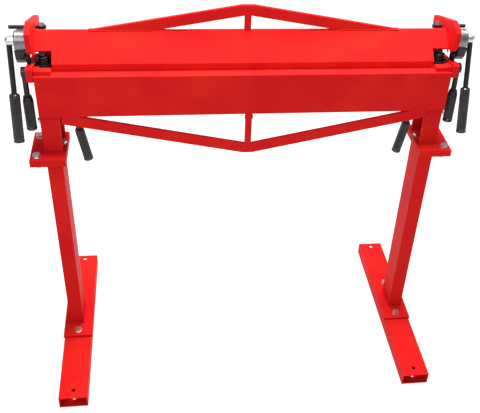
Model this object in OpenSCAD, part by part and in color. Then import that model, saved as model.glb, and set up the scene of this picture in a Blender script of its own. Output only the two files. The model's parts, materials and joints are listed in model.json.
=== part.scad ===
/* [Stand] */
// Distance between the two foot centre lines
foot_spacing = 950; // [930:5:970]
// Width of each foot tube
foot_w = 75; // [70:1:80]
// Height of each foot tube
foot_h = 35; // [30:1:40]
// How far the feet reach in front of the legs
foot_front = 273; // [250:1:300]
// How far the feet reach behind the leg front faces
foot_back = 311; // [280:1:340]
// Wall of the foot, leg and post tubes
tube_wall = 3; // [2:0.5:4]
// Radius of the floor anchor holes
anchor_r = 5.5; // [4:0.5:7]
// Thickness of the plates welded under the legs
base_t = 7; // [6:1:10]
// Width of the plates welded under the legs
base_w = 80; // [76:1:84]
// Width of each leg tube
leg_w = 38; // [34:1:40]
// Depth of each leg tube
leg_d = 75; // [65:1:80]
// Height of the underside of the leg cap plates
cap_z = 618; // [600:1:625]

/* [Machine frame] */
// Thickness of the leg cap plates and of the machine foot plates
flange_t = 9; // [8:1:10]
// Height of the bed surface, which is also the bending line
bed_z = 848; // [844:1:852]
// Distance of the bending line behind the leg front faces
axis_y = 16; // [15.5:0.5:17]
// Thickness of the bed plate
bed_t = 12; // [10:1:14]
// Rear edge of the bed plate
bed_back = 150; // [146:1:160]

/* [Bending leaf] */
// Half length of the bending leaf
leaf_x = 499.5; // [498:0.5:499.5]
// Thickness of the bending leaf
leaf_t = 8; // [6:1:8]
// Depth of the bending leaf face
leaf_h = 105; // [95:1:110]
// Drop of the inner truss edge below the leaf in the middle
truss_drop = 87; // [75:1:95]
// Depth of each truss bar
truss_w = 27.5; // [24:0.5:30]

/* [Clamping leaf] */
// Half length of the working nose
nose_x = 459; // [440:1:459]
// Height of the ridge of the clamping leaf
ridge_z = 926.5; // [924:0.5:928]
// Rise of the outer truss edge over the ridge in the middle
clamp_truss_rise = 64.5; // [58:0.5:68]
// Lift of the clamping leaf over the full lever throw
lift = 6; // [4:0.5:7]
// Full throw of the clamping levers in degrees
throw = 75; // [70:1:80]

/* [Levers] */
// Radius of every lever rod
rod_r = 6.5; // [5:0.5:6.5]
// Radius of every hand grip
grip_r = 13; // [11:0.5:13]
// Length of the clamping lever grips
grip_l = 117; // [100:1:118]
// Length of the outer bending lever grips
bend_grip_l = 88; // [80:1:95]
// Length of the inner bending lever grips
inner_grip_l = 90; // [80:1:90]

/* [Hidden] */
$fn = 64;
foot_x = foot_spacing / 2;
leg_x = foot_x + 5;
zb = foot_h + base_t;
zm = cap_z + flange_t;
zp = zm + flange_t;
anchor_y = [27 - foot_front, foot_back - 16];
base_y = [-51, 125];
base_bolt_y = [-30, 104];
flange_x = [448, 534];
flange_y = [-36, 98];
flange_bolt_x = foot_x + 43;
flange_bolt_y = [-16, 74];
inner_bolt_x = 460;
inner_bolt_y = 42;
bolt_r = 5;
hole_r = 5.5;
head_r = 9.6;
head_t = 6.5;
nut_t = 8;
washer_r = 10.5;
washer_t = 1.6;

// Posts and bed
post_in = 455.5;
post_out = 500.5;
post_d = 80;
post_t = 6;
post_bolt_y = 11;
post_bolt_z = 722;
post_bolt_r = 4.2;
notch_y = axis_y + 15;
plate_in = 500.5;
plate_out = 515.5;
leaf_front = axis_y - 28;
running = 0.05;

// Bending leaf
lug_in = 487.5;
pad_in = 460.5;
pad_rise = 10.5;
pad_back = axis_y - 0.3;
lug_r = 12;
pin_r = 7;
boss_in = 516.5;
boss_out = 529;
boss_r = 12.5;
lever_x = 523;
bend_lean = 2.3;
bend_depth = 149;
inner_lean = 10;
inner_x = 424;
inner_y = 4.5;
inner_top = 771;
inner_depth = 161;
truss_t = 8;
truss_end = 449;
truss_run = 412;
blunt = 12;

// Clamping leaf
nose_y = axis_y + 2;
nose_z = bed_z + 17.5;
ridge_y = 80;
ridge_flat = 4;
clamp_t = 8;
foot_t = 8;
foot_gap = 0.5;
notch_up = 33;
slope = atan2(ridge_z - nose_z, ridge_y - nose_y);
ridge_top = ridge_z - ridge_flat * tan(slope);
clamp_truss_run = 375;
clamp_truss_inner = 220;
clamp_truss_w = 26.7;
clamp_blunt = 15;
ear_in = 498;
ear_out = 510;
ear_web = 4;
end_gap = 0.3;
cross_y = 114;
cross_z = 915;
cross_r = 5;
nut_r = 11.2;

// Lift springs
spring_x = 480;
spring_y = 47;
spring_z = bed_z + 4;
spring_h = 23;
coil_r = 11.5;
wire_r = 1.5;
cup_r = 20;
cup_bore = 16;
cup_h = 9;
pad_r = 7;
pad_gap = 0.7;

// Clamping shafts, cams and levers
shaft_y = axis_y + 24;
shaft_z = bed_z + 67;
shaft_r = 11;
shaft_cone = 552;
shaft_end = 558;
shaft_tip_r = 6;
hub_r = 24;
hub_in = 511;
hub_out = 537;
hub_edge = 3;
cam_in = 517;
cam_out = 538;
groove_depth = 15;
latch_d = 42;
latch_r = 5;
bracket_in = 508.5;
clamp_lever_x = 550;
clamp_lean = 16.7;
clamp_depth = 239;
red = [0.80, 0.10, 0.10];
black = [0.06, 0.06, 0.06];
steel = [0.25, 0.25, 0.27];
zinc = [0.72, 0.73, 0.75];

// A box given by its two opposite corners
module box(a, b) {
  translate(a) cube(b - a);
}

// The piece turned over to the left side
module left_side() {
  mirror([1, 0, 0]) children();
}

// The piece on both sides
module both_sides() {
  children();
  left_side() children();
}

// A straight round bar along X
module bar_x(x0, x1, y, z, r, sides = 64) {
  translate([x0, y, z]) rotate([0, 90, 0]) cylinder(r = r, h = x1 - x0, $fn = sides);
}

// A profile drawn in Y and Z, made solid from x0 to x1
module profile_x(x0, x1, points) {
  translate([x0, 0, 0]) rotate([90, 0, 90]) linear_extrude(height = x1 - x0) polygon(points);
}

// A profile drawn in X and Z, made solid from y0 to y1
module profile_y(y0, y1, points) {
  translate([0, y1, 0]) rotate([90, 0, 0]) linear_extrude(height = y1 - y0) polygon(points);
}

// An upright hexagon bolt with its washer, head seat at z = 0
module bolt(length) {
  translate([0, 0, washer_t]) cylinder(r = head_r, h = head_t, $fn = 6);
  cylinder(r = washer_r, h = washer_t);
  translate([0, 0, -length]) cylinder(r = bolt_r, h = length + washer_t);
}

// A hexagon nut hanging below z = 0
module nut() {
  difference() {
    translate([0, 0, -nut_t]) cylinder(r = head_r, h = nut_t, $fn = 6);
    translate([0, 0, -nut_t - 1]) cylinder(r = bolt_r + 0.3, h = nut_t + 2);
  }
}

// One foot, a rectangular tube open at both ends
module foot() {
  color(red) difference() {
    box([foot_x - foot_w / 2, -foot_front, 0], [foot_x + foot_w / 2, foot_back, foot_h]);
    box([foot_x - foot_w / 2 + tube_wall, -foot_front - 1, tube_wall],
        [foot_x + foot_w / 2 - tube_wall, foot_back + 1, foot_h - tube_wall]);
    for (y = anchor_y) translate([foot_x, y, -1]) cylinder(r = anchor_r, h = foot_h + 2);
    for (y = base_bolt_y) translate([foot_x, y, foot_h / 2]) cylinder(r = hole_r, h = foot_h);
  }
}

// The plate that bolts one leg to its foot
module base_plate() {
  color(red) difference() {
    box([foot_x - base_w / 2, base_y[0], foot_h], [foot_x + base_w / 2, base_y[1], zb]);
    for (y = base_bolt_y) translate([foot_x, y, foot_h - 1]) cylinder(r = hole_r, h = base_t + 2);
  }
}

// Four bolts through the base plates
module base_bolts() {
  color(zinc) both_sides() for (y = base_bolt_y) translate([foot_x, y, zb]) bolt(24);
}

// Four nuts inside the feet
module base_nuts() {
  color(zinc) both_sides() for (y = base_bolt_y) translate([foot_x, y, foot_h - tube_wall]) nut();
}

// One leg, an upright rectangular tube
module leg() {
  color(red) difference() {
    box([leg_x - leg_w / 2, 0, zb], [leg_x + leg_w / 2, leg_d, cap_z]);
    box([leg_x - leg_w / 2 + tube_wall, tube_wall, zb - 1],
        [leg_x + leg_w / 2 - tube_wall, leg_d - tube_wall, cap_z + 1]);
  }
}

// A flange plate with two bolt holes outside the post and one inside its channel
module flange_plate(z0) {
  color(red) difference() {
    box([flange_x[0], flange_y[0], z0], [flange_x[1], flange_y[1], z0 + flange_t]);
    for (y = flange_bolt_y)
      translate([flange_bolt_x, y, z0 - 1]) cylinder(r = hole_r, h = flange_t + 2);
    translate([inner_bolt_x, inner_bolt_y, z0 - 1]) cylinder(r = hole_r, h = flange_t + 2);
  }
}

// Four bolts through the flanges
module flange_bolts() {
  color(zinc) both_sides() for (y = flange_bolt_y) translate([flange_bolt_x, y, zp]) bolt(32);
}

// One short screw inside the channel of each post
module inner_screws() {
  color(zinc) both_sides() translate([inner_bolt_x, inner_bolt_y, zp]) bolt(16);
}

// Four nuts under the flanges
module flange_nuts() {
  color(zinc) both_sides() for (y = flange_bolt_y) translate([flange_bolt_x, y, cap_z]) nut();
}

// One short post, a channel that is open toward the middle of the machine
module post() {
  color(red) difference() {
    box([post_in, 0, zp], [post_out, post_d, bed_z - bed_t]);
    box([post_in - 1, post_t, zp - 1], [post_out - post_t, post_d - post_t, bed_z]);
    box([post_in - 1, -1, bed_z - bed_t - 10], [post_out + 1, notch_y, bed_z]);
    bar_x(post_out - post_t - 1, post_out + 1, post_bolt_y, post_bolt_z, post_bolt_r + 0.3);
  }
}

// One bolt in the outer face of each post
module post_bolts() {
  color(zinc) both_sides() {
    bar_x(post_out, post_out + 6, post_bolt_y, post_bolt_z, 8, 6);
    bar_x(post_out - post_t - 8, post_out + 1, post_bolt_y, post_bolt_z, post_bolt_r);
  }
}

// The bed, an angle with its corner at the bending line
module bed() {
  color(red) difference() {
    union() {
      box([-plate_in, axis_y + 0.5, bed_z - bed_t], [plate_in, bed_back, bed_z]);
      box([post_t - post_out, axis_y + 0.5, bed_z - 96],
          [post_out - post_t, axis_y + 10.5, bed_z - bed_t + 1]);
    }
    for (s = [-1, 1])
      translate([s * (plate_in + lug_in) / 2, axis_y, bed_z])
        cube([plate_in - lug_in + 3, 2 * (notch_y - axis_y), 3 * bed_t], center = true);
  }
}

// One end plate of the bed, which holds the hinge pin
module side_plate() {
  color(red) difference() {
    profile_x(plate_in, plate_out,
      [[leaf_front, bed_z - 13], [leaf_front, bed_z + 17], [leaf_front + 3, bed_z + 20],
       [4, bed_z + 20], [60, bed_z + 4], [125, bed_z - 6], [125, bed_z - 26]]);
    bar_x(plate_in - 1, plate_out + 1, axis_y, bed_z, pin_r + running);
  }
}

// One black bracket on top of each end plate, which holds the latch pin
module latch_bracket() {
  fall = 16 / 56;
  y0 = shaft_y - 10;
  y1 = shaft_y + 10;
  top = shaft_z - latch_d + 9;
  color(black) difference() {
    profile_x(bracket_in, plate_out,
      [[y0, bed_z + 20 - fall * (y0 - 4)], [y1, bed_z + 20 - fall * (y1 - 4)], [y1, top - 5],
       [y1 - 5, top], [y0 + 5, top], [y0, top - 5]]);
    bar_x(bracket_in - 1, plate_out + 1, shaft_y, shaft_z - latch_d, latch_r);
  }
}

// Two fixed pins that the cams pull against
module latch_pins() {
  color(zinc) both_sides()
    bar_x(bracket_in, cam_in + groove_depth - 0.5, shaft_y, shaft_z - latch_d, latch_r);
}

// Two cups that the lift springs stand in
module spring_seats() {
  color(black) both_sides() translate([spring_x, spring_y, bed_z]) difference() {
    cylinder(r = cup_r, h = cup_h);
    translate([0, 0, spring_z - bed_z]) cylinder(r = cup_bore, h = cup_h);
  }
}

// One lift spring, drawn as a ribbed sleeve
module lift_spring() {
  turns = 6;
  pitch = (spring_h - 2 * wire_r) / turns;
  color(black) translate([spring_x, spring_y, spring_z]) rotate_extrude() union() {
    translate([coil_r - 0.6, 0]) square([1.2, spring_h]);
    for (i = [0:turns]) translate([coil_r, wire_r + pitch * i]) circle(r = wire_r, $fn = 24);
  }
}

// The bending leaf, an angle whose top lies level with the bed
module bending_leaf() {
  color(red) difference() {
    union() {
      box([-leaf_x, leaf_front, bed_z - leaf_h], [leaf_x, leaf_front + leaf_t, bed_z]);
      box([-leaf_x, leaf_front, bed_z - 8], [leaf_x, axis_y, bed_z]);
    }
    for (s = [-1, 1])
      translate([s * (leaf_x + lug_in) / 2, leaf_front + leaf_t + 25, bed_z])
        cube([leaf_x - lug_in + 2, 50, 40], center = true);
  }
}

// One inclined bar under the bending leaf
module leaf_truss() {
  z0 = bed_z - leaf_h;
  rise = truss_drop / truss_run;
  low = z0 - truss_drop - truss_w;
  color(red) profile_y(leaf_front, leaf_front + truss_t,
    [[0, z0 - truss_drop], [truss_run, z0], [truss_end, z0], [truss_end, low + truss_end * rise],
     [blunt, low + blunt * rise], [0, low + blunt * rise]]);
}

// The short upright between the leaf and the middle of its truss
module leaf_strut() {
  z0 = bed_z - leaf_h;
  rise = truss_drop / truss_run;
  color(red) profile_y(leaf_front - 1, leaf_front + truss_t + 1,
    [[-8, z0], [8, z0], [8, z0 - truss_drop + 8 * rise], [0, z0 - truss_drop],
     [-8, z0 - truss_drop + 8 * rise]]);
}

// One hinge lug welded into the end of the bending leaf
module lug() {
  color(red) difference() {
    union() {
      box([lug_in, leaf_front + leaf_t, bed_z - lug_r], [leaf_x, axis_y, bed_z + lug_r]);
      bar_x(lug_in, leaf_x, axis_y, bed_z, lug_r);
      box([pad_in, leaf_front + leaf_t, bed_z], [lug_in + 1, pad_back, bed_z + pad_rise]);
    }
    bar_x(lug_in + 2, leaf_x + 1, axis_y, bed_z, pin_r);
  }
}

// Two hinge pins fixed in the lugs
module hinge_pins() {
  color(zinc) both_sides() bar_x(lug_in + 2, boss_out + 0.5, axis_y, bed_z, pin_r);
}

// A hand grip of length l and radius r, closed end at depth d below the lever's pivot,
// narrowing over the height c to its collar
module grip(l, d, r, c) {
  color(black) translate([0, 0, -d]) difference() {
    rotate_extrude() polygon([[0, 0], [r - 2, 0], [r, 2], [r, 6], [r - 1.2, 9],
      [r - 0.5, l - c], [rod_r + 2, l], [0, l]]);
    translate([0, 0, 6]) cylinder(r = rod_r, h = l);
  }
}

// A rod that starts at depth a and ends at depth b below its pivot
module rod(a, b) {
  translate([0, 0, -b]) cylinder(r = rod_r, h = b - a);
}

// Place a piece on the outer bending lever line
module at_bend_lever() {
  translate([lever_x, axis_y, bed_z]) rotate([-bend_lean, 0, 0]) children();
}

// One outer bending lever with its boss on the hinge pin
module bend_lever() {
  color(black) difference() {
    union() {
      bar_x(boss_in, boss_out, axis_y, bed_z, boss_r);
      at_bend_lever() rod(2, bend_depth - 6);
    }
    bar_x(boss_in - 1, boss_out + 1, axis_y, bed_z, pin_r);
  }
}

// The grip of one outer bending lever
module bend_grip() {
  at_bend_lever() grip(bend_grip_l, bend_depth, grip_r, 11);
}

// Place a piece on the inner bending lever line
module at_inner_lever() {
  translate([inner_x, inner_y, inner_top]) rotate([0, inner_lean, 0]) children();
}

// Two sockets behind the leaf that hold the inner bending levers
module lever_sockets() {
  color(red) both_sides() difference() {
    box([inner_x - 16, leaf_front + leaf_t, inner_top - 26], [inner_x + 14, inner_y + 9, inner_top + 2]);
    at_inner_lever() translate([0, 0, -40]) cylinder(r = rod_r, h = 60);
  }
}

// One inner bending lever
module inner_lever() {
  color(black) at_inner_lever() rod(0, inner_depth - 6);
}

// The grip of one inner bending lever
module inner_grip() {
  at_inner_lever() grip(inner_grip_l, inner_depth, grip_r - 1, 4);
}

// The clamping leaf, a raised angle that stands on its front nose
module clamping_leaf() {
  rise = tan(slope);
  drop = clamp_t / cos(slope);
  foot_top = nose_z + foot_t * rise - drop;
  back_y = 2 * ridge_y - nose_y;
  foot_z = bed_z + foot_gap;
  color(red) difference() {
    profile_x(-ear_in, ear_in,
      [[nose_y, nose_z], [nose_y, foot_z], [nose_y + foot_t, foot_z], [nose_y + foot_t, foot_top],
       [ridge_y, ridge_z - drop], [back_y - foot_t, foot_top], [back_y - foot_t, foot_z],
       [back_y, foot_z], [back_y, nose_z], [ridge_y + ridge_flat, ridge_top],
       [ridge_y - ridge_flat, ridge_top]]);
    for (s = [-1, 1])
      translate([s * (nose_x + 30), nose_y, nose_z]) rotate([slope, 0, 0])
        translate([-30, -60, -60]) cube([60, 60 + notch_up, 120]);
  }
}

// One inclined bar over the ridge
module clamp_truss() {
  rise = clamp_truss_rise / clamp_truss_run;
  high = ridge_top + clamp_truss_rise;
  color(red) profile_y(ridge_y - truss_t / 2, ridge_y + truss_t / 2,
    [[0, high - clamp_blunt * rise], [clamp_blunt, high - clamp_blunt * rise], [clamp_truss_run, ridge_top],
     [clamp_truss_inner, ridge_top], [0, high - clamp_truss_w]]);
}

// The short upright between the ridge and the middle of its truss
module clamp_strut() {
  inner_rise = (clamp_truss_rise - clamp_truss_w) / clamp_truss_inner;
  top = ridge_top + clamp_truss_rise - clamp_truss_w;
  color(red) profile_y(ridge_y - 4, ridge_y + 4,
    [[-8, ridge_top], [8, ridge_top], [8, top - 8 * inner_rise], [0, top], [-8, top - 8 * inner_rise]]);
}

// One ear at the end of the clamping leaf
module ear() {
  color(red) difference() {
    profile_x(ear_in, ear_out,
      [[50, 886], [22, 889], [9, 902], [4, 922], [6, 944], [16, 951], [50, 957], [178, 917],
       [178, 897], [150, 874], [120, 874], [70, 888]]);
    bar_x(ear_in + ear_web, ear_out + 1, shaft_y, shaft_z, shaft_r + running);
    bar_x(ear_in - 1, ear_out + 1, cross_y, cross_z, cross_r);
  }
}

// Two long bolts through the ears
module cross_bolts() {
  color(black) both_sides() {
    bar_x(ear_in - 20, ear_in - 7, cross_y, cross_z, nut_r, 6);
    bar_x(ear_in - 24, 560, cross_y, cross_z, cross_r);
  }
}

// Two stubs under the clamping leaf that the lift springs push on
module spring_pads() {
  color(black) both_sides() difference() {
    translate([spring_x, spring_y, spring_z + spring_h + pad_gap]) cylinder(r = pad_r, h = 30);
    translate([spring_x - 20, nose_y, nose_z - clamp_t / cos(slope)]) rotate([slope, 0, 0])
      cube([40, 120, 60]);
  }
}

// A straight cone along X
module cone_x(x0, x1, y, z, r0, r1) {
  translate([x0, y, z]) rotate([0, 90, 0]) cylinder(r1 = r0, r2 = r1, h = x1 - x0);
}

// One clamping shaft, with its bright tapered outer end
module shaft() {
  color(zinc) difference() {
    union() {
      bar_x(ear_in + ear_web + end_gap, shaft_cone, shaft_y, shaft_z, shaft_r);
      cone_x(shaft_cone, shaft_end, shaft_y, shaft_z, shaft_r, shaft_tip_r);
    }
    at_clamp_lever() rod(0, 20);
  }
}

// One round hub keyed on the clamping shaft
module hub() {
  color(steel) difference() {
    union() {
      bar_x(hub_in, hub_out - hub_edge, shaft_y, shaft_z, hub_r);
      cone_x(hub_out - hub_edge, hub_out, shaft_y, shaft_z, hub_r, hub_r - hub_edge);
    }
    bar_x(hub_in - 1, hub_out + 1, shaft_y, shaft_z, shaft_r);
  }
}

// An arc about the shaft whose radius grows evenly with the lever's throw
function spiral(r, a0, a1) =
  [for (i = [0:24]) let (a = a0 + (a1 - a0) * i / 24) (r + lift * a / throw) * [sin(a), -cos(a)]];

// The same points in the opposite order
function turned(v) = [for (i = [1:len(v)]) v[len(v) - i]];

// One cam welded to its hub: a blind groove in its inner face runs on the latch pin
module clamp_cam() {
  slack = latch_r + 0.1;
  end = 8;
  color(black) difference() {
    profile_x(cam_in, cam_out,
      [[22, 915], [20, 895], [26, 874], [36, 862], [62, 861], [80, 868], [92, 885], [97, 905],
       [97, 920], [50, 920]]);
    bar_x(cam_in - 1, cam_out + 1, shaft_y, shaft_z, hub_r);
    translate([0, shaft_y, shaft_z]) profile_x(cam_in - 1, cam_in + groove_depth,
      concat(spiral(latch_d + slack, -end, throw + end),
        turned(spiral(latch_d - slack, -end, throw + end))));
  }
}

// Place a piece on the clamping lever line
module at_clamp_lever() {
  translate([clamp_lever_x, shaft_y, shaft_z]) rotate([-clamp_lean, 0, 0]) children();
}

// One clamping lever screwed into the end of its shaft
module clamp_lever() {
  color(black) at_clamp_lever() rod(0, clamp_depth - 6);
}

// The grip of one clamping lever
module clamp_grip() {
  at_clamp_lever() grip(grip_l, clamp_depth, grip_r, 3);
}

left_side() foot();  // left_foot
foot();  // right_foot
left_side() base_plate();  // left_base_plate
base_plate();  // right_base_plate
base_bolts();
base_nuts();
left_side() leg();  // left_leg
leg();  // right_leg
left_side() flange_plate(cap_z);  // left_leg_cap
flange_plate(cap_z);  // right_leg_cap
left_side() flange_plate(zm);  // left_machine_foot
flange_plate(zm);  // right_machine_foot
flange_bolts();
inner_screws();
flange_nuts();
left_side() post();  // left_post
post();  // right_post
bed();
left_side() side_plate();  // left_side_plate
side_plate();  // right_side_plate
both_sides() latch_bracket();  // latch_brackets
latch_pins();
spring_seats();
left_side() lift_spring();  // left_lift_spring
lift_spring();  // right_lift_spring
post_bolts();
bending_leaf();
left_side() leaf_truss();  // leaf_truss_left
leaf_truss();  // leaf_truss_right
leaf_strut();
left_side() lug();  // left_lug
lug();  // right_lug
hinge_pins();
left_side() bend_lever();  // left_bend_lever
bend_lever();  // right_bend_lever
left_side() bend_grip();  // left_bend_grip
bend_grip();  // right_bend_grip
lever_sockets();
left_side() inner_lever();  // left_inner_lever
inner_lever();  // right_inner_lever
left_side() inner_grip();  // left_inner_grip
inner_grip();  // right_inner_grip
clamping_leaf();
left_side() clamp_truss();  // clamp_truss_left
clamp_truss();  // clamp_truss_right
clamp_strut();
left_side() ear();  // left_ear
ear();  // right_ear
cross_bolts();
spring_pads();
left_side() shaft();  // left_shaft
shaft();  // right_shaft
left_side() hub();  // left_hub
hub();  // right_hub
left_side() clamp_cam();  // left_clamp_cam
clamp_cam();  // right_clamp_cam
left_side() clamp_lever();  // left_clamp_lever
clamp_lever();  // right_clamp_lever
left_side() clamp_grip();  // left_clamp_grip
clamp_grip();  // right_clamp_grip
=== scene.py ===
import bpy
import json
import math
from mathutils import Matrix, Vector


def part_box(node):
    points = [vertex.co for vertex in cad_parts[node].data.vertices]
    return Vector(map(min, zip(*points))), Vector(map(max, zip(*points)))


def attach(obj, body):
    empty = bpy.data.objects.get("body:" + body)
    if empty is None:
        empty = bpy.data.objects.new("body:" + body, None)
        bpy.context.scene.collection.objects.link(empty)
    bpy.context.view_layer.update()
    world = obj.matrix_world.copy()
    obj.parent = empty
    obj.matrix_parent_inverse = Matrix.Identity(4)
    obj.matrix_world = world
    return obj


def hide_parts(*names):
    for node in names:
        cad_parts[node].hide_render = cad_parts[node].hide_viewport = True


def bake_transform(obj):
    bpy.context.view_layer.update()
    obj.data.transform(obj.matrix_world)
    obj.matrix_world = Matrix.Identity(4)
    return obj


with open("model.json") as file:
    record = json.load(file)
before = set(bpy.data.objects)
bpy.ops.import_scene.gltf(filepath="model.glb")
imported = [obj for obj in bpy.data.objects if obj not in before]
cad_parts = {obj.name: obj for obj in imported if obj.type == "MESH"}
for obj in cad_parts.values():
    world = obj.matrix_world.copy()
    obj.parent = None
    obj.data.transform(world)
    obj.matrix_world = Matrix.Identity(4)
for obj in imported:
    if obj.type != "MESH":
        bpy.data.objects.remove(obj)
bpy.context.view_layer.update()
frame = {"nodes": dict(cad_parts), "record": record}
MM = 0.001


# ---- materials ----
def material(name, light, dark, metal, rough, patch, grain, bump, coat=0.0, edge=0.0, shine=0.5,
             bend=1.5):
    """light and dark are the two colours that large soft patches mix; rough is (low, high);
    patch and grain are noise scales per metre; bump is a height in metres."""
    m = bpy.data.materials.new(name)
    m.use_nodes = True
    n, k = m.node_tree.nodes, m.node_tree.links
    b = n["Principled BSDF"]
    b.inputs["Metallic"].default_value = metal
    b.inputs["Specular IOR Level"].default_value = shine
    b.inputs["IOR"].default_value = bend
    b.inputs["Coat Weight"].default_value = coat
    b.inputs["Coat Roughness"].default_value = 0.12
    where = n.new("ShaderNodeTexCoord")

    def noise(scale, detail):
        x = n.new("ShaderNodeTexNoise")
        x.inputs["Scale"].default_value = scale
        x.inputs["Detail"].default_value = detail
        k.new(where.outputs["Object"], x.inputs["Vector"])
        return x.outputs["Fac"]

    def spread(value, low, high, a=0.35, z=0.65):
        x = n.new("ShaderNodeMapRange")
        x.inputs["From Min"].default_value = a
        x.inputs["From Max"].default_value = z
        x.inputs["To Min"].default_value = low
        x.inputs["To Max"].default_value = high
        k.new(value, x.inputs["Value"])
        return x.outputs["Result"]

    soft = noise(patch, 4)
    fine = noise(grain, 3)
    mix = n.new("ShaderNodeMix")
    mix.data_type = "RGBA"
    mix.inputs["A"].default_value = (*dark, 1)
    mix.inputs["B"].default_value = (*light, 1)
    k.new(spread(soft, 0.0, 1.0), mix.inputs["Factor"])
    k.new(mix.outputs["Result"], b.inputs["Base Color"])
    k.new(spread(fine, rough[0], rough[1]), b.inputs["Roughness"])
    bumped = n.new("ShaderNodeBump")
    bumped.inputs["Strength"].default_value = 0.6
    bumped.inputs["Distance"].default_value = bump
    k.new(fine, bumped.inputs["Height"])
    if edge:
        rounded = n.new("ShaderNodeBevel")
        rounded.samples = 4
        rounded.inputs["Radius"].default_value = edge
        k.new(rounded.outputs["Normal"], bumped.inputs["Normal"])
    k.new(bumped.outputs["Normal"], b.inputs["Normal"])
    return m


# radius of the softened edges
EDGE, FINE_EDGE = 1.2 * MM, 0.6 * MM
MATERIALS = {
    "red_paint": material("red_enamel", (0.64, 0.016, 0.012), (0.58, 0.010, 0.013), 0.0, (0.36, 0.50),
                          9, 260, 0.00012, edge=EDGE, shine=0.12, bend=1.18),
    "zinc_steel": material("bright_zinc", (0.74, 0.75, 0.78), (0.56, 0.57, 0.61), 1.0, (0.22, 0.38),
                           60, 900, 0.00006, edge=FINE_EDGE),
    "dark_steel": material("oiled_steel", (0.34, 0.34, 0.37), (0.20, 0.20, 0.22), 1.0, (0.26, 0.44),
                           45, 700, 0.00006, edge=EDGE),
    "black_steel": material("black_oxide", (0.018, 0.018, 0.022), (0.009, 0.009, 0.011), 0.3, (0.28, 0.46),
                            40, 600, 0.00006, edge=FINE_EDGE),
    "grip_rubber": material("grip_rubber", (0.011, 0.010, 0.014), (0.006, 0.006, 0.008), 0.0, (0.26, 0.42),
                            50, 800, 0.00008, coat=0.5),
}
for part in frame["record"]["subparts"]:
    for held in frame["nodes"][part["node"]].material_slots:
        held.material = MATERIALS[part["material_slot"]]


# ---- mesh helpers ----
def solid(name, verts, faces, slot, body, smooth=True):
    """A mesh piece in that material slot, which rides on body if one is given."""
    mesh = bpy.data.meshes.new(name)
    mesh.from_pydata([tuple(v) for v in verts], [], faces)
    mesh.validate()
    mesh.update()
    mesh.materials.append(MATERIALS[slot])
    mesh.polygons.foreach_set("use_smooth", [smooth] * len(mesh.polygons))
    o = bpy.data.objects.new(name, mesh)
    bpy.context.scene.collection.objects.link(o)
    if body:
        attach(o, body)
    return o


def skin(rings):
    """One closed skin over rings of equal count, capped at both ends."""
    n = len(rings[0])
    verts = [p for ring in rings for p in ring]
    faces = []
    for i in range(len(rings) - 1):
        for j in range(n):
            a, b = i * n + j, i * n + (j + 1) % n
            faces.append((a, b, b + n, a + n))
    for row, flip in ((0, True), (len(rings) - 1, False)):
        middle = sum(rings[row], Vector()) / n
        verts.append(middle)
        for j in range(n):
            f = (row * n + j, row * n + (j + 1) % n, len(verts) - 1)
            faces.append(f[::-1] if flip else f)
    return verts, faces


def join(parts):
    """Several (verts, faces) pairs as one."""
    verts, faces = [], []
    for v, f in parts:
        at = len(verts)
        verts += v
        faces += [tuple(i + at for i in q) for q in f]
    return verts, faces


def across(d):
    """Two directions square to d, which make a right-handed set with it."""
    side = Vector((1, 0, 0)) if abs(d.x) < 0.9 else Vector((0, 1, 0))
    u = (side - side.dot(d) * d).normalized()
    return u, d.cross(u)


def turned_ring(p, d, radius, count):
    """A ring of points about p, square to d. radius is a length, or a function of the angle."""
    u, w = across(d)
    return [p + (math.cos(a) * u + math.sin(a) * w) * (radius(a) if callable(radius) else radius)
            for a in (2 * math.pi * j / count for j in range(count))]


# ---- weld beads ----
BEAD_STEP = 3.2 * MM
BEAD_SIDES = 10
# radius of each kind of bead
SEAM_BEAD, LUG_BEAD, EAR_BEAD, RIDGE_BEAD = 2.6 * MM, 2.4 * MM, 2.3 * MM, 2.2 * MM
# how far a bead stops short of the corners of a post or the sides of a lug
POST_INSET, LUG_INSET = 2 * MM, 4 * MM
# An ear's beads run from near to far out from the ridge of the clamping leaf, whose faces fall at
# about this slope. They lie inside its plate, so most of their length doesn't show.
EAR_NEAR, EAR_FAR = 6 * MM, 44 * MM
EAR_INSET = 1 * MM
CLAMP_SLOPE = 0.983
# length of the beads at the ends of the trusses and at the top of the strut
LEAF_END_RUN, RIDGE_END_RUN, STRUT_RUN = 34 * MM, 150 * MM, 14 * MM


def bead(p0, p1, r=SEAM_BEAD):
    """A rippled weld bead from p0 to p1."""
    p0, p1 = Vector(p0), Vector(p1)
    length = (p1 - p0).length
    d = (p1 - p0) / length
    ripples = max(2, round(length / BEAD_STEP))
    rings = []
    for i in range(ripples * 4 + 1):
        t = i / (ripples * 4)
        ripple = 0.78 + 0.22 * abs(math.sin(math.pi * t * ripples))
        ends = min(1.0, 0.35 + 0.65 * min(t, 1 - t) * ripples)
        rings.append(turned_ring(p0 + d * (length * t), d, r * ripple * ends, BEAD_SIDES))
    return skin(rings)


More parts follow.
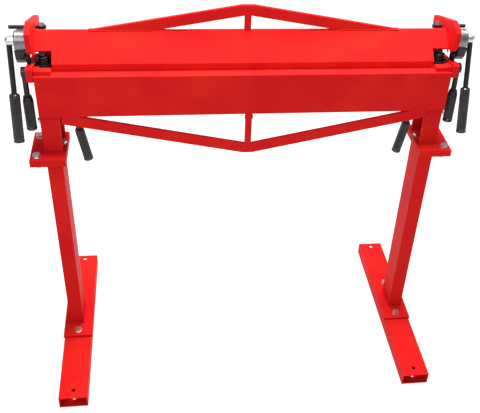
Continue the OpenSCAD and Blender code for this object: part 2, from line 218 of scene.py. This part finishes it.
frame_beads, leaf_beads, clamp_beads = [], [], []
for s in ("left", "right"):
    plo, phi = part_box(s + "_post")
    for y in (plo.y, phi.y):
        frame_beads.append(bead((plo.x, y, plo.z), (phi.x, y, plo.z)))
    outer = phi.x if s == "right" else plo.x
    frame_beads.append(bead((outer, plo.y + POST_INSET, plo.z), (outer, phi.y - POST_INSET, plo.z)))
    llo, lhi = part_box(s + "_leg")
    for z in (llo.z, lhi.z):
        frame_beads.append(bead((llo.x, llo.y, z), (lhi.x, llo.y, z)))
        for x in (llo.x, lhi.x):
            frame_beads.append(bead((x, llo.y, z), (x, lhi.y, z)))
    # lugs on the bending leaf
    glo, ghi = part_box(s + "_lug")
    leaf_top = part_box("bending_leaf")[1].z
    leaf_beads.append(bead((glo.x + LUG_INSET, glo.y, leaf_top),
                           (ghi.x - LUG_INSET, glo.y, leaf_top), LUG_BEAD))
    # ears on the clamping leaf
    elo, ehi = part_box(s + "_ear")
    edge = elo.x if s == "right" else ehi.x
    side = -1 if s == "right" else 1
    nlo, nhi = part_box("clamping_leaf")
    ridge_y = (nlo.y + nhi.y) / 2
    for toward in (-1, 1):
        near, far = ((edge + side * EAR_INSET, ridge_y + toward * run, nhi.z - run * CLAMP_SLOPE)
                     for run in (EAR_NEAR, EAR_FAR))
        clamp_beads.append(bead(near, far, EAR_BEAD))
# truss ends and struts
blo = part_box("bending_leaf")[0]
for side, n in ((-1, "leaf_truss_left"), (1, "leaf_truss_right")):
    tlo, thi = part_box(n)
    end = tlo.x if side < 0 else thi.x
    leaf_beads.append(bead((end - side * LEAF_END_RUN, tlo.y, blo.z), (end, tlo.y, blo.z)))
slo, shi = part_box("leaf_strut")
for x in (slo.x, shi.x):
    leaf_beads.append(bead((x, slo.y, shi.z - STRUT_RUN), (x, slo.y, shi.z)))
for side, n in ((-1, "clamp_truss_left"), (1, "clamp_truss_right")):
    tlo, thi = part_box(n)
    end = tlo.x if side < 0 else thi.x
    for y in (tlo.y, thi.y):
        clamp_beads.append(bead((end, y, tlo.z), (end - side * RIDGE_END_RUN, y, tlo.z), RIDGE_BEAD))
for name, parts, body in (("frame_welds", frame_beads, "frame"), ("leaf_welds", leaf_beads, "leaf"),
                          ("clamp_welds", clamp_beads, "clamp")):
    solid(name, *join(parts), "red_paint", body)


# ---- knurled grips ----
KNURL_DEPTH = 1.1 * MM
KNURL_STEP = 4.4 * MM
# how far from the tip the knurl starts, and how close its rows are
KNURL_START = 10 * MM
ROW_STEP = 0.7 * MM
# steepness of a groove's sides
GROOVE = 2.2
COLUMNS = 96
ROOT_R = 10 * MM


def forward(lean):
    """Down a lever that leans toward the operator."""
    return Vector((0, -math.sin(math.radians(lean)), -math.cos(math.radians(lean))))


def sideways(lean):
    """Down a lever that leans toward +X, or toward -X where lean is negative."""
    return Vector((math.sin(math.radians(lean)), 0, -math.cos(math.radians(lean))))


def knurled(name, d, cone, body):
    """A knurled handle in place of a plain one. d points down its lever, and cone is the length of
    its taper toward the lever."""
    verts = [v.co for v in frame["nodes"][name].data.vertices]
    u, w = across(d)
    t0, t1 = min(v.dot(d) for v in verts), max(v.dot(d) for v in verts)
    cu = (min(v.dot(u) for v in verts) + max(v.dot(u) for v in verts)) / 2
    cw = (min(v.dot(w) for v in verts) + max(v.dot(w) for v in verts)) / 2
    r = (max(v.dot(w) for v in verts) - min(v.dot(w) for v in verts)) / 2
    tip = u * cu + w * cw + d * t1
    length = t1 - t0
    # distance from the tip, and radius there: rounded end, plain band, groove, knurled run, taper
    knots = [(0, r - 3 * MM), (1 * MM, r - 1 * MM), (2.4 * MM, r - 0.1 * MM), (6 * MM, r - 0.1 * MM),
             (8 * MM, r - 1.3 * MM), (KNURL_START, r - 0.6 * MM), (length - cone, r - 0.6 * MM),
             (length, ROOT_R)]

    def radius(t):
        for (a, ra), (b, rb) in zip(knots, knots[1:]):
            if t <= b:
                return ra + (rb - ra) * (t - a) / (b - a)
        return ROOT_R

    around = 2 * math.pi * r
    starts = round(around / KNURL_STEP)
    rows = [x * MM for x in (0, 0.5, 1, 1.7, 2.4, 4, 6, 7, 8, 9, 10)]
    t = KNURL_START
    while t < length - cone:
        t += ROW_STEP
        rows.append(min(t, length - cone))
    rows += [length - cone * (1 - f) for f in (0.25, 0.5, 0.75, 1.0)]
    rings = []
    for t in rows:
        cut = KNURL_START < t < length - cone

        def at(a, t=t, cut=cut):
            if not cut:
                return radius(t)
            turn = a * starts / 2
            along = math.pi * t / KNURL_STEP
            low = min(abs(math.sin(turn + along)), abs(math.sin(turn - along)))
            return radius(t) - KNURL_DEPTH * (1 - min(1.0, low * GROOVE))

        rings.append(turned_ring(tip - d * t, -d, at, COLUMNS))
    o = solid(name + "_knurled", *skin(rings), "grip_rubber", body, smooth=False)
    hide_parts(name)


# how far each kind of lever leans from the vertical, in degrees
CLAMP_LEAN, BEND_LEAN, INNER_LEAN = 16.7, 2.3, 10.0
for s in ("left", "right"):
    knurled(s + "_clamp_grip", forward(CLAMP_LEAN), 3 * MM, s + "_cam")
    knurled(s + "_bend_grip", forward(BEND_LEAN), 11 * MM, "leaf")
    knurled(s + "_inner_grip", sideways(-INNER_LEAN if s == "right" else INNER_LEAN), 4 * MM, "leaf")


# ---- lift springs ----
# turns, radius of the wire, steps in each turn, and sides of the wire
TURNS, WIRE, TURN_STEPS, WIRE_SIDES = 5, 1.5 * MM, 36, 12
for s in ("left", "right"):
    node = s + "_lift_spring"
    lo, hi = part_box(node)
    mid = (lo + hi) / 2
    coil = (hi.x - lo.x) / 2 - WIRE
    rings = []
    count = TURNS * TURN_STEPS
    for i in range(count + 1):
        a = 2 * math.pi * TURNS * i / count
        z = lo.z + WIRE + (hi.z - lo.z - 2 * WIRE) * i / count
        p = Vector((mid.x + coil * math.cos(a), mid.y + coil * math.sin(a), z))
        along = Vector((-coil * math.sin(a), coil * math.cos(a), (hi.z - lo.z) / (2 * math.pi * TURNS)))
        out = Vector((math.cos(a), math.sin(a), 0))
        d = along.normalized()
        w = d.cross(out)
        rings.append([p + WIRE * (math.cos(q) * out + math.sin(q) * w)
                      for q in (2 * math.pi * j / WIRE_SIDES for j in range(WIRE_SIDES))])
    o = solid(s + "_coil", *skin(rings), "black_steel", None)
    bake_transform(o)
    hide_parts(node)


# ---- threaded cross bolts ----
PITCH, THREAD = 1.75 * MM, 0.55 * MM
BOLT_R = 5 * MM
# how far the rod reaches inboard of the ear, its rows in each pitch, and the plain rows at its ends
ROD_INSIDE = 24 * MM
PITCH_ROWS, PLAIN_ROWS = 5, 3
# distance inboard of the ear in mm, and size there, of each ring of the nut
NUT_RINGS = ((20, 0.90), (18.8, 1.0), (8.2, 1.0), (7, 0.90))
# largest radius of the nut, beside its full one, which rounds off the corners
NUT_ROUND = 0.985
ROD_SIDES, NUT_SIDES = 24, 48
ear_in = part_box("right_ear")[0].x
lo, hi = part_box("cross_bolts")
cy, cz = (lo.y + hi.y) / 2, (lo.z + hi.z) / 2
nut_r = max(hi.y - lo.y, hi.z - lo.z) / 2
parts = []
for side in (-1, 1):
    d = Vector((side, 0, 0))
    start, stop = ear_in - ROD_INSIDE, hi.x
    rows = round((stop - start) / PITCH * PITCH_ROWS)
    rings = []
    for i in range(rows + 1):
        x = start + (stop - start) * i / rows
        near_end = min(i, rows - i) < PLAIN_ROWS

        def at(a, x=x, near_end=near_end):
            if near_end:
                return BOLT_R - THREAD
            return BOLT_R - THREAD * (0.5 + 0.5 * math.cos(2 * math.pi * x / PITCH - a))

        rings.append(turned_ring(Vector((side * x, cy, cz)), d, at, ROD_SIDES))
    parts.append(skin(rings))
    nut = []
    for x, scale in NUT_RINGS:
        def at(a, scale=scale):
            flat = nut_r * math.cos(math.pi / 6)
            q = (a + math.pi / 6) % (math.pi / 3) - math.pi / 6
            return min(flat / math.cos(q), nut_r * NUT_ROUND) * scale
        nut.append(turned_ring(Vector((side * (ear_in - x * MM), cy, cz)), d, at, NUT_SIDES))
    parts.append(skin(nut))
o = solid("threaded_cross_bolts", *join(parts), "black_steel", "clamp", smooth=False)
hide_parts("cross_bolts")


# ---- camera ----
cam = bpy.data.cameras.new("camera")
cam.sensor_width = 36
cam.lens = 58.45
cam.shift_x, cam.shift_y = -0.0760, 0.0283
eye = bpy.data.objects.new("camera", cam)
bpy.context.scene.collection.objects.link(eye)
yaw, pitch, roll = (math.radians(a) for a in (10.188, 37.8905, 4.1536))
ahead = Vector((math.sin(yaw) * math.cos(pitch), math.cos(yaw) * math.cos(pitch), -math.sin(pitch)))
level = Vector((math.cos(yaw), -math.sin(yaw), 0))
above = level.cross(ahead)
rx = math.cos(roll) * level + math.sin(roll) * above
ux = -math.sin(roll) * level + math.cos(roll) * above
px, py, pz = -0.2098, -1.6677, 1.7168
eye.matrix_world = Matrix(((rx.x, ux.x, -ahead.x, px), (rx.y, ux.y, -ahead.y, py),
                           (rx.z, ux.z, -ahead.z, pz), (0, 0, 0, 1)))
bpy.context.scene.camera = eye

# ---- floor and light ----
bpy.context.scene.view_settings.view_transform = "Standard"
pale = bpy.data.materials.new("pale_floor")
pale.use_nodes = True
surface = pale.node_tree.nodes["Principled BSDF"]
surface.inputs["Base Color"].default_value = (0.16, 0.16, 0.16, 1)
surface.inputs["Roughness"].default_value = 0.8
surface.inputs["Emission Color"].default_value = (1, 1, 1, 1)
surface.inputs["Emission Strength"].default_value = 0.93
ground = bpy.data.meshes.new("floor")
half = 20
corners = [(-half, -half, 0), (half, -half, 0), (half, half, 0), (-half, half, 0)]
ground.from_pydata(corners, [], [(0, 1, 2, 3)])
ground.materials.append(pale)
floor = bpy.data.objects.new("floor", ground)
bpy.context.scene.collection.objects.link(floor)

# the sky lights the scene weakly, and the camera sees it at full strength
SKY_LIGHT, SKY_SEEN = 0.28, 0.72
AIM = Vector((0, 0.05, 0.7))
world = bpy.data.worlds.new("studio")
world.use_nodes = True
world.node_tree.nodes["Background"].inputs[0].default_value = (1, 1, 1, 1)
sky = world.node_tree
seen = sky.nodes.new("ShaderNodeLightPath")
strength = sky.nodes.new("ShaderNodeMath")
strength.operation = "MULTIPLY_ADD"
strength.inputs[1].default_value = SKY_SEEN
strength.inputs[2].default_value = SKY_LIGHT
sky.links.new(seen.outputs["Is Camera Ray"], strength.inputs[0])
sky.links.new(strength.outputs[0], sky.nodes["Background"].inputs[1])
bpy.context.scene.world = world
for name, watts, size, place, tint in (
        ("key", 26, 1.6, (-0.9, -1.9, 2.5), (1.0, 0.96, 0.92)),
        ("top", 190, 1.6, (0.2, 0.5, 3.0), (1.0, 0.96, 0.88)),
):
    lamp = bpy.data.lights.new(name, "AREA")
    lamp.energy, lamp.size, lamp.color = watts, size, tint
    holder = bpy.data.objects.new(name, lamp)
    holder.location = place
    holder.rotation_euler = (AIM - Vector(place)).to_track_quat("-Z", "Y").to_euler()
    bpy.context.scene.collection.objects.link(holder)
